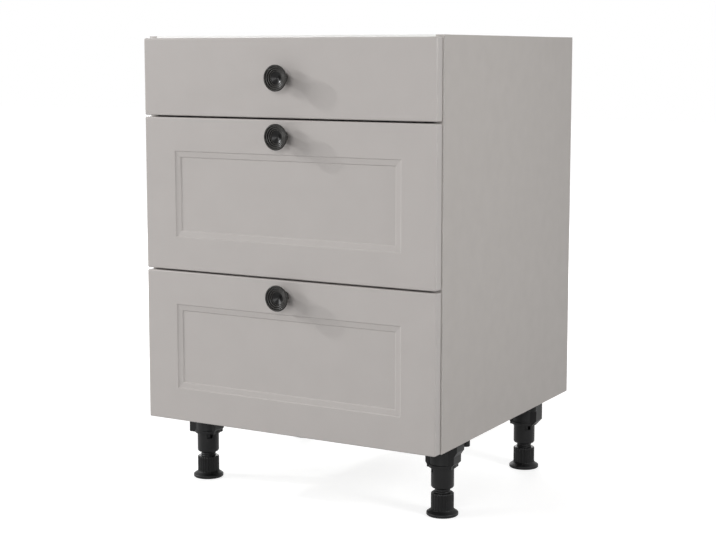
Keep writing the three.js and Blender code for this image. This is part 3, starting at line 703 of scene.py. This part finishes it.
def drawer_front(name):
    """Loops of a rounded rectangle from the back round the edge and over the face.

    Round the edge the outline shrinks by e (1 - cos a) while it comes forward by e sin a.
    """
    node = f"drawer_front_{name}"
    low, high = corners(node)
    half, middle = (high - low) / 2, centred(node, 1, 0)
    face, back = low[1], high[1]
    bend = np.linspace(0, math.pi / 2, 8)
    edge = [(FRONT_BACK_EDGE, back), (0, back - FRONT_BACK_EDGE)]
    edge += [(FRONT_EDGE * (1 - math.cos(a)), face + FRONT_EDGE * (1 - math.sin(a))) for a in bend]
    edge.append((FRONT_EDGE + 0.6, face))
    rows = [(inset, inset, y) for inset, y in edge]
    if name in DEEP_DRAWERS:
        rows += [(STILE + inwards, RAIL + inwards, face + deep) for inwards, deep in recess_line()]
    loops = []
    for inset_x, inset_z, y in rows:
        corner = max(FRONT_CORNER - inset_x, RECESS_CORNER)
        outline = rectangle(half[0] - inset_x, half[2] - inset_z, corner, 5)
        loops.append(placed(outline + middle[[0, 2]], "y", y))
    piece(node, skin(np.stack(loops)), f"drawer_{name}", [GREY_FOIL, WHITE_MELAMINE],
          node, paint=board_faces((1, 1)))
    pad = turned(rounded([(0, 0), (4, 0), (4, 1), (2.6, 1.5), (0, 1.5)], 0.3, 2), 24)
    across, up = BUFFER_INSET
    pads = [moved(pad, FACING["back"], (x, back, z)) for x in (low[0] + across, high[0] - across)
            for z in (low[2] + up, high[2] - up)]
    piece(f"buffers_{name}", joined(*pads), f"drawer_{name}", CLEAR_PAD)


# ---- knobs
KNOB_SEGMENTS = 96


def with_ridges(made, profile, segments, radius):
    """Marks the outstanding corners of a turned surface, 0 to 1, in its ridge attribute.

    A corner's value is its curvature, the sine of its turn over its legs' mean length, times radius.
    """
    way = np.diff(profile, axis=0)
    gaps = np.linalg.norm(way, axis=1)
    way /= np.maximum(gaps, TINY)[:, None]
    bend = way[:-1, 0] * way[1:, 1] - way[:-1, 1] * way[1:, 0]
    curve = bend / np.maximum((gaps[:-1] + gaps[1:]) / 2, 1e-3)
    ridge = np.clip(curve * radius, 0, 1)
    values = np.concatenate([np.repeat(ridge, segments), [ridge[0], ridge[-1]]])
    attribute = made.data.attributes.new("ridge", "FLOAT", "POINT")
    attribute.data.foreach_set("value", values.astype(np.float32))


def knob(name):
    """A turned knob: base, waist, flared back, rim, and three beaded steps down to the dish."""
    node = f"knob_{name}"
    low, high = corners(node)
    rim, reach = (high[0] - low[0]) / 2, high[1] - low[1]
    base, neck = 10.5, 8
    line = [(0, 0), (base, 0), (base, 1.6), (neck + 0.8, 3.2), (neck, 6), (neck + 0.3, reach - 13.5),
            (neck + 4.5, reach - 9.5), (rim - 2, reach - 6), (rim, reach - 3.6), (rim, reach - 1.6),
            (rim - 1.4, reach)]
    radii = [0, 0.3, 0.5, 0.8, 2, 3, 4, 1.2, 1.0, 1.0, 0.6]
    for inset, drop in ((3, 0), (6.2, 1.8), (9.4, 3.6)):
        bead = [(0, 0.2), (0.6, 2.2), (1.0, 1.9), (1.9, 1.5)]
        line += [(rim - inset - inwards, reach - drop - deep) for inwards, deep in bead]
        radii += [0.5, 0.2, 0.3, 0.8]
    line += [(rim - 12.2, reach - 6.6), (2.4, reach - 10.3), (0, reach - 10.8)]
    radii += [0.5, 5, 0]
    profile = refined(rounded(line, radii, 4), 0.3)
    shape = moved(turned(profile, KNOB_SEGMENTS), FACING["front"], centred(node, 1, high[1]))
    made = piece(node, shape, f"drawer_{name}", BLACK_METAL, node, smooth=60)
    # the ridge attribute lightens the rings: partly rubbed wear, partly painted highlight
    with_ridges(made, profile, KNOB_SEGMENTS, 0.9)


def knob_screw(name):
    """The knob's screw, seen inside the drawer: a pan head on a washer."""
    node = f"knob_screw_{name}"
    low, high = corners(node)
    radius, back = (high[0] - low[0]) / 2, corners(f"drawer_front_{name}")[1][1]
    tip = low[1] - back
    washer = rounded([(0, 0), (radius * 1.7, 0), (radius * 1.7, 0.8), (0, 0.8)], 0.2, 2)
    shank = [(0, tip), (2, tip + 1), (2, 0), (0, 0)]
    parts = turned(washer, 32), moved(screw_head(radius, 1.8), place=(0, 0, 0.8)), turned(shank, 24)
    piece(node, moved(joined(*parts), FACING["back"], centred(node, 1, back)), f"drawer_{name}",
          ZINC_PLATE, node)


# ---- runners: each wall is the inner face of a side panel, in X
RUNNER_SHEET = 1.5
RUNNER_BEND = 1.2
RUNNER_SCREWS = (37, 261, 421)  # carcass front edge to each screw
RUNNER_SCREW_DROP = 10.5  # from the flange's top
SLOT_LENGTH = 14
SLOT_DROPS = 8, 13  # top and bottom of the slots, from the flange's top
SLOT_PLACES = (60, 92, 156, 188, 230, 300, 332, 380, 450)  # from the rail's front end
LIP = 9


def folded_strip(node, side, wall, line, sheet, slots=()):
    """A strip of sheet folded along Y, from a line of points (inwards from a side panel, up from
    the node's foot). The slots, (start, end) along Y, are cut in its second leg."""
    low, high = corners(node)
    stations = sorted({low[1], high[1], *[y for slot in slots for y in slot]})
    grids = []
    for edge in strip(line, sheet):
        section = np.column_stack([side * (abs(wall) - edge[:, 0]), low[2] + edge[:, 1]])
        grids.append(np.stack([placed(section, "y", y) for y in stations]))
    present = np.ones((len(stations) - 1, len(line) - 1), bool)
    for start, _ in slots:
        present[stations.index(start), 1] = False
    return walled(*grids, present)


def cabinet_rail(name, word, side, wall):
    """The fixed rail: flange, web and lip folded from one strip, slotted in the flange."""
    node = f"cabinet_rail_{name}_{word}"
    low, high = corners(node)
    flange, width, half = high[2] - low[2], high[0] - low[0], RUNNER_SHEET / 2
    folded = rounded([(half, flange), (half, half), (width - half, half), (width - half, LIP)],
                     RUNNER_BEND + half, 5)
    line = np.vstack([folded[:1], [(half, flange - drop) for drop in SLOT_DROPS], folded[1:]])
    slots = [(low[1] + y, low[1] + y + SLOT_LENGTH) for y in SLOT_PLACES]
    piece(node, folded_strip(node, side, wall, line, RUNNER_SHEET, slots), "carcass",
          GALVANISED, node)
    carcass_front = corners(f"side_panel_{word}")[0][1]
    heads = [moved(screw_head(3.6, 1.9), FACING["right" if side < 0 else "left"],
                   (wall - side * RUNNER_SHEET, carcass_front + y, high[2] - RUNNER_SCREW_DROP))
             for y in RUNNER_SCREWS]
    piece(f"runner_screws_{name}_{word}", joined(*heads), "carcass", ZINC_PLATE)


def middle_rail(name, word, side, wall):
    """The middle rail: a downward channel, with a plastic slider pad at each end."""
    node = f"middle_rail_{name}_{word}"
    low, high = corners(node)
    width, height, half = high[0] - low[0], high[2] - low[2], RUNNER_SHEET / 2
    start = abs(wall) - abs(outer_side(node, side))
    fold = [(start + width - half, 0), (start + width - half, height - half),
            (start + half, height - half), (start + half, 0)]
    line = rounded(fold, RUNNER_BEND + half, 5)
    piece(node, folded_strip(node, side, wall, line, RUNNER_SHEET), f"middle_rails_{name}",
          GALVANISED, node)
    pads = [slab((low[0] + 2, y, low[2] + 0.6), (high[0] - 2, y + 12, high[2] - RUNNER_SHEET), 0.5, 1.5)
            for y in (low[1] + 1, high[1] - 13)]
    piece(f"slider_pads_{name}_{word}", joined(*pads), f"middle_rails_{name}",
          GREY_PLASTIC)


# ---- drawer boxes
SIDE_SHEET = 1.2
SIDE_BEND = 1.0
SIDE_TOP_BEND = 2.6
WALL_START = 14  # inwards from the side panel
WALL_WIDTH = 14
LEDGE_REACH = 46
SIDE_LEG = 2.6
CAP_LENGTH = 46
CAP_HEIGHT = 14
CAP_PLACE = 22, 24  # from the metal side's front end, and its middle from the top
BRACKET_SHEET = 1.5
BRACKET_WIDTH = 24
BRACKET_HEIGHT = 60  # with a margin of 4 at each end


def drawer_side(name, word, side, wall):
    """The metal side in section: leg, shelf, double wall with a rounded top, and ledge."""
    node = f"drawer_side_{name}_{word}"
    low, high = corners(node)
    half = SIDE_SHEET / 2
    ledge = corners(f"drawer_bottom_{name}")[0][2] - half - low[2]
    top = high[2] - half - low[2]
    inner, outer, leg = WALL_START + WALL_WIDTH - half, WALL_START + half, SIDE_LEG + half
    fold = [(LEDGE_REACH, ledge), (inner, ledge), (inner, top), (outer, top), (outer, ledge),
            (leg, ledge), (leg, 0)]
    radii = np.array([-half, SIDE_BEND, SIDE_TOP_BEND, SIDE_TOP_BEND, SIDE_BEND, SIDE_BEND, -half])
    shape = folded_strip(node, side, wall, rounded(fold, radii + half, 6), SIDE_SHEET)
    piece(node, shape, f"drawer_{name}", WHITE_STEEL, node)
    inner_face = abs(wall) - WALL_START - WALL_WIDTH
    x = sorted((side * inner_face, side * (inner_face - 1.4)))
    y, z = low[1] + CAP_PLACE[0], high[2] - CAP_PLACE[1]
    cap = slab((x[0], y, z - CAP_HEIGHT / 2), (x[1], y + CAP_LENGTH, z + CAP_HEIGHT / 2), 0.6, 4,
               axis="x")
    piece(f"cover_cap_{name}_{word}", cap, f"drawer_{name}", WHITE_PLASTIC)


def back_bracket(name):
    """Steel plates on the rear of the drawer's back, screwed beside each metal side."""
    low, high = corners(f"drawer_back_{name}")
    bottom, top = low[2] + 4, min(high[2], low[2] + BRACKET_HEIGHT) - 4
    rear = high[1] + BRACKET_SHEET
    plates, heads = [], []
    for side in LEFT_RIGHT.values():
        edge = outer_side(f"drawer_back_{name}", side)
        x = sorted((edge, edge - side * BRACKET_WIDTH))
        plates.append(slab((x[0], high[1], bottom), (x[1], rear, top), 0.4, 3, axis="y"))
        heads += [moved(screw_head(3.6, 1.8), FACING["back"], (edge - side * BRACKET_WIDTH / 2, rear, z))
                  for z in (bottom + 10, top - 10)]
    piece(f"back_brackets_{name}", joined(*plates, *heads), f"drawer_{name}",
          ZINC_PLATE)


def gallery_rod(name, word):
    """A round rod with a stepped flange at the front and a moulded holder at the back."""
    node = f"gallery_rod_{name}_{word}"
    low, high = corners(node)
    flange, radius, holder = 9, 5, 16
    end = high[1] - low[1] - holder / 2
    line = [(0, 0), (flange, 0), (flange, 2.4), (flange - 2, 4), (radius, 4), (radius, end), (0, end)]
    rod = turned(rounded(line, [0, 0.2, 0.8, 0.6, 0.3, 0.2, 0], 3), 40)
    block = slab((low[0] + 1.7, high[1] - holder, low[2]), high - [1.7, 0, 0], 0.8, 2.5, axis="y")
    shape = joined(moved(rod, FACING["back"], centred(node, 1, low[1])), block)
    piece(node, shape, f"drawer_{name}", WHITE_STEEL, node)


def drawer_board(node, body, way, edge, edge_finish):
    piece(node, slab(*corners(node), SOFT_BOARD, axis=way), body,
          [WHITE_MELAMINE, edge_finish], node, paint=board_faces(edge))


def make_drawer(name):
    drawer_front(name)
    knob(name)
    knob_screw(name)
    for word, side in LEFT_RIGHT.items():
        wall = outer_side(f"cabinet_rail_{name}_{word}", side)
        cabinet_rail(name, word, side, wall)
        middle_rail(name, word, side, wall)
        drawer_side(name, word, side, wall)
        if name in DEEP_DRAWERS:
            gallery_rod(name, word)
    drawer_board(f"drawer_bottom_{name}", f"drawer_{name}", "z", (1, 1), CHIPBOARD)
    drawer_board(f"drawer_back_{name}", f"drawer_{name}", "y", (2, 1), WHITE_EDGING)
    back_bracket(name)


# ---- feet
FOOT_SEGMENTS = 120
SLEEVE_RADIUS = 20.5
SLEEVE_BORE = 14.5
SLEEVE_LOWER = 50
SLEEVE_CHAMFER = 2.5
WINDOW_ROW = 4  # of the sleeve's rows, counted upwards from 0
WINDOW_HALF_TURN = 5  # in steps of the sleeve's segments, each side of the middle
WINDOW_TOP = 86
WINDOW_HEIGHT = 8
WINDOW_FACING = {"front_left": -45, "front_right": -135, "rear_left": 225, "rear_right": -45}
GRIP_RIBS = 24
RIB_DEPTH = 1.8
GRIP_TOP = 41
GRIP_BOTTOM = 11
STEM_RADIUS = 14.1
THREAD_PITCH = 4
THREAD_DEPTH = 0.7
PLATE_THICKNESS = 6
SOCKET_BORE = 20.8
BOSS_PLACE = 30  # sideways from the foot's middle, in both directions
LUG = 17, 8  # drop and radius of the longer boss
BOSS = 7, 6.4
SINK = 3.2  # of the screw heads in their bosses

# Sides of the block beside the socket, and of the ribs: (outwards from the axis, down from the carcass).
BLOCK_BOX = [(33, 3), (33, 51)]
BLOCK_PLAIN = [(27, 3), (27, 42), (24, 46), (24, 51)]
BLOCK_SLOPED = [(31.5, 3), (31.5, 41), (23, 50), (23, 51)]
BLOCK_STEPPED = [(35, 3), (35, 19), (29, 28), (29, 41), (24, 46), (24, 51)]
RIB = [(22, 3), (22, 28), (15, 45)]
WEB = [(18, 3), (18, 24), (14, 38)]
PLATE_SHAPES = {  # left side, right side, and the corner with the longer boss
    "front_left": (BLOCK_BOX, BLOCK_PLAIN, (-1, 1)),
    "front_right": (BLOCK_PLAIN, BLOCK_STEPPED, (1, 1)),
    "rear_left": (BLOCK_SLOPED, BLOCK_PLAIN, (-1, -1)),
    "rear_right": (BLOCK_PLAIN, BLOCK_SLOPED, (1, -1)),
}


def foot_centre(word):
    return centred(f"foot_adjuster_{word}", 2, 0)


def foot_plate(word):
    """Mounting plate, block beside the socket, ribs, socket with a collar, and screw bosses."""
    node = f"foot_plate_{word}"
    low, high = corners(node)
    top, under, socket = high[2], high[2] - PLATE_THICKNESS, low[2]
    half = (high[0] - low[0]) / 2
    left, right, lug = PLATE_SHAPES[word]

    def outline(one_side, other_side, radius):
        edge = [(x, top - drop) for x, drop in one_side]
        return rounded(edge + [(-x, top - drop) for x, drop in other_side[::-1]], radius, 3, closed=True)

    ring = rounded([(SOCKET_BORE, socket), (25, socket), (25, socket + 6), (23.6, socket + 6.6),
                    (23.6, under), (SOCKET_BORE, under)], 0.6, 3, closed=True)
    shapes = [slab((-half, -half, under), (half, half, top), 0.8, 8),
              extruded(outline(right, left, 1), "y", -15, 15),
              extruded(outline(RIB, RIB, 1), "x", -3, 3), turned(ring, FOOT_SEGMENTS, ring=True)]
    shapes += [extruded(outline(WEB, WEB, 0.6), "x", x - 1, x + 1) for x in (-13, 13)]
    heads = []
    for x, y in ((-1, -1), (1, -1), (1, 1), (-1, 1)):
        drop, radius = LUG if (x, y) == lug else BOSS
        place = np.array([x * BOSS_PLACE, y * BOSS_PLACE, top - drop])
        boss = rounded([(0, SINK), (4.8, SINK), (4.8, 0), (radius, 0), (radius, drop - 3), (0, drop - 3)],
                       0.5, 2)
        shapes.append(moved(turned(boss, 36), place=place))
        heads.append(moved(screw_head(4.2, 2.2), FACING["down"], place + [0, 0, SINK]))
    centre = foot_centre(word)
    piece(node, moved(joined(*shapes), place=centre), "carcass", BLACK_PLASTIC,
          node, 0.5)
    piece(f"foot_screws_{word}", moved(joined(*heads), place=centre), "carcass",
          ZINC_PLATE)


def foot_sleeve(word):
    """A tube, (r cos t, r sin t, z) on a grid of turns and heights, with a latch seen in its window."""
    node = f"foot_sleeve_{word}"
    window = WINDOW_TOP - WINDOW_HEIGHT, WINDOW_TOP
    cut = SLEEVE_CHAMFER
    levels = np.array([(SLEEVE_LOWER, cut), (SLEEVE_LOWER + 0.3, cut * 0.7),
                       (SLEEVE_LOWER + cut * 0.8, 0.3), (SLEEVE_LOWER + cut * 1.2, 0),
                       (window[0], 0), (window[1], 0), (corners(node)[1][2], 0)])
    turn = np.linspace(0, 2 * math.pi, FOOT_SEGMENTS, endpoint=False)

    def surface(radius):
        radius, upright = np.broadcast_arrays(radius[:, None], levels[:, :1] + 0 * turn)
        return np.stack([radius * np.cos(turn), radius * np.sin(turn), upright], -1)

    present = np.ones((len(levels) - 1, FOOT_SEGMENTS), bool)
    facing = round(WINDOW_FACING[word] / 360 * FOOT_SEGMENTS)
    columns = facing + np.arange(-WINDOW_HALF_TURN, WINDOW_HALF_TURN)
    present[WINDOW_ROW, columns % FOOT_SEGMENTS] = False
    bore = np.full(len(levels), SLEEVE_BORE)
    tube = walled(surface(SLEEVE_RADIUS - levels[:, 1]), surface(bore), present, ring=True)
    angle = math.radians(WINDOW_FACING[word])
    cosine, sine = math.cos(angle), math.sin(angle)
    latch = slab((16, -4.6, window[0] + 1), (19.8, 0.2, window[1] + 1), 0.6, 0.9)
    latch = moved(latch, [[cosine, -sine, 0], [sine, cosine, 0], [0, 0, 1]])
    piece(node, moved(joined(tube, latch), place=foot_centre(word)), "carcass",
          BLACK_PLASTIC, node)


def foot_adjuster(word):
    """Pad, ribbed grip and threaded stem as one turned surface.

    On the grip the radius falls between the ribs, a rounded square wave of the turn; on the stem
    it follows a helix, one turn for each pitch of height.
    """
    node = f"foot_adjuster_{word}"
    low, high = corners(node)
    pad, stem, top, grip = (high[0] - low[0]) / 2, STEM_RADIUS, high[2], SLEEVE_RADIUS
    line = [(0, 0), (pad - 1.2, 0), (pad, 1.2), (pad, 5.3), (grip + 1.2, GRIP_BOTTOM - 1),
            (grip, GRIP_BOTTOM + 1), (grip, GRIP_TOP - 1.6), (grip - 2, GRIP_TOP), (stem, GRIP_TOP)]
    foot = refined(rounded(line, [0, 0.4, 0.8, 1.2, 1.5, 1.5, 1.2, 0.8, 0], 4), 0.5)
    rows = np.arange(GRIP_TOP + 0.5, top - 2, THREAD_PITCH / 8)
    threaded = np.column_stack([np.full(len(rows), stem), rows])
    profile = np.vstack([foot, threaded, [(stem - 1.4, top), (0, top)]])

    def formed(turn, radius, height):
        on_grip = np.clip((height - GRIP_BOTTOM) / 1.5, 0, 1) * np.clip((GRIP_TOP - height) / 1.2, 0, 1)
        hollow = 0.5 - 0.5 * np.tanh(2.5 * np.cos(turn * GRIP_RIBS))
        on_stem = np.clip(height - GRIP_TOP - 0.4, 0, 1)
        phase = height / THREAD_PITCH * 2 * math.pi - turn
        groove = 0.5 + 0.5 * np.tanh(2.2 * np.cos(phase))
        ribbed = on_grip * (radius > grip - 1.7) * hollow * RIB_DEPTH
        return radius - ribbed - on_stem * groove * THREAD_DEPTH, height

    segments = GRIP_RIBS * 6
    shape = moved(turned(profile, segments, form=formed), place=foot_centre(word))
    made = piece(node, shape, f"adjuster_{word}", BLACK_PLASTIC, node, smooth=50)
    # the ridge attribute paints highlights on the grip's outstanding edges
    with_ridges(made, profile, segments, 0.7)


# ---- stage and light, in metres
MIDDLE = np.array([0, 0, 0.45])
WORLD_LEVEL = 0.15
# Each lamp: the way towards it from the cabinet, its distance, width, length and level, the share of
# full light that it gives a white surface which faces it.
LAMPS = {
    "sharp_left": ((-2.72, -1, 1.2), 6.0, 0.16, 0.16, 0.28),
    "strip_left": ((-0.767, -0.545, 0.339), 6.0, 0.7, 3.2, 0.39),
    "front": ((0.5, -2.5, 0.65), 4.5, 2.0, 2.0, 0.29),
    "right": ((2.2, -0.42, 0.75), 2.3, 0.6, 0.6, 0.38),
    "behind": ((-0.7, 1.2, 0.6), 4.0, 2.4, 2.4, 0.6),
}
FRONT_WAY = np.array([0, -1, 0])
FLOOR_HALF = 15.0
FLOOR_HEIGHT = -0.0001
FLOOR_COLOUR = (0.5, 0.5, 0.5, 1)
FLOOR_GLOW = 0.72, 1.0  # under the cabinet and far away
GLOW_RADII = 0.6, 2.6  # from the middle, where the glow starts and stops growing


def lamp(name, way, distance, width, length, level):
    """An oval lamp aimed at the cabinet, of power level (pi distance) squared. Its length lies in
    the plane of its way and the fronts' normal."""
    data = bpy.data.lights.new(name, "AREA")
    data.shape = "ELLIPSE"
    data.size, data.size_y = width, length
    data.energy = level * (math.pi * distance) ** 2
    made = added(name, data)
    way = np.array(way) / np.linalg.norm(way)
    across = np.cross(FRONT_WAY, way)
    across /= np.linalg.norm(across)
    turn = np.eye(4)
    turn[:3, :3] = np.column_stack([across, np.cross(way, across), way])
    turn[:3, 3] = MIDDLE + way * distance
    made.matrix_world = turn.T.tolist()


def seen_directly(tree):
    """1 for rays that show the background: from the camera, in reflections, through glass."""
    path = tree.add("LightPath", {}).outputs
    seen = tree.maths("MAXIMUM", path["Is Camera Ray"], path["Is Glossy Ray"])
    return tree.maths("MAXIMUM", seen, path["Is Transmission Ray"])


def make_world():
    world = bpy.data.worlds.new("studio")
    bpy.context.scene.world = world
    world.use_nodes = True
    tree = Tree(world.node_tree)
    light = tree.nodes["Background"]
    tree.feed(light.inputs["Color"], WHITE)
    tree.feed(light.inputs["Strength"], WORLD_LEVEL)
    white = tree.add("Background", {"Color": WHITE, "Strength": 1})
    either = tree.add("MixShader", {0: seen_directly(tree), 1: light.outputs[0], 2: white.outputs[0]})
    tree.feed(tree.nodes["World Output"].inputs["Surface"], either.outputs[0])


def make_floor():
    """A matt floor with a glow that only the background's rays see, so that shadows stay."""
    mesh = bpy.data.meshes.new("floor")
    square = [(x * FLOOR_HALF, y * FLOOR_HALF, FLOOR_HEIGHT)
              for x, y in ((-1, -1), (1, -1), (1, 1), (-1, 1))]
    mesh.from_pydata(square, [], [(0, 1, 2, 3)])
    floor = added("floor", mesh)
    material = bpy.data.materials.new("pale_floor")
    material.use_nodes = True
    tree = Tree(material.node_tree)
    away = tree.add("VectorMath", {0: tree.place()}, operation="LENGTH").outputs["Value"]
    growing = tree.spread(away, *GLOW_RADII, *FLOOR_GLOW)
    shader = tree.nodes["Principled BSDF"].inputs
    for label, given in {
        "Base Color": FLOOR_COLOUR, "Roughness": 1, "Specular IOR Level": 0,
        "Emission Color": WHITE,
        "Emission Strength": tree.maths("MULTIPLY", seen_directly(tree), growing),
    }.items():
        tree.feed(shader[label], given)
    mesh.materials.append(material)


# ---- the whole picture
make_carcass()
for drawer in DRAWERS:
    make_drawer(drawer)
for foot in FEET:
    foot_plate(foot)
    foot_sleeve(foot)
    foot_adjuster(foot)
make_world()
for lamp_name, lamp_values in LAMPS.items():
    lamp(lamp_name, *lamp_values)
make_floor()
bpy.context.scene.view_settings.view_transform = "Standard"
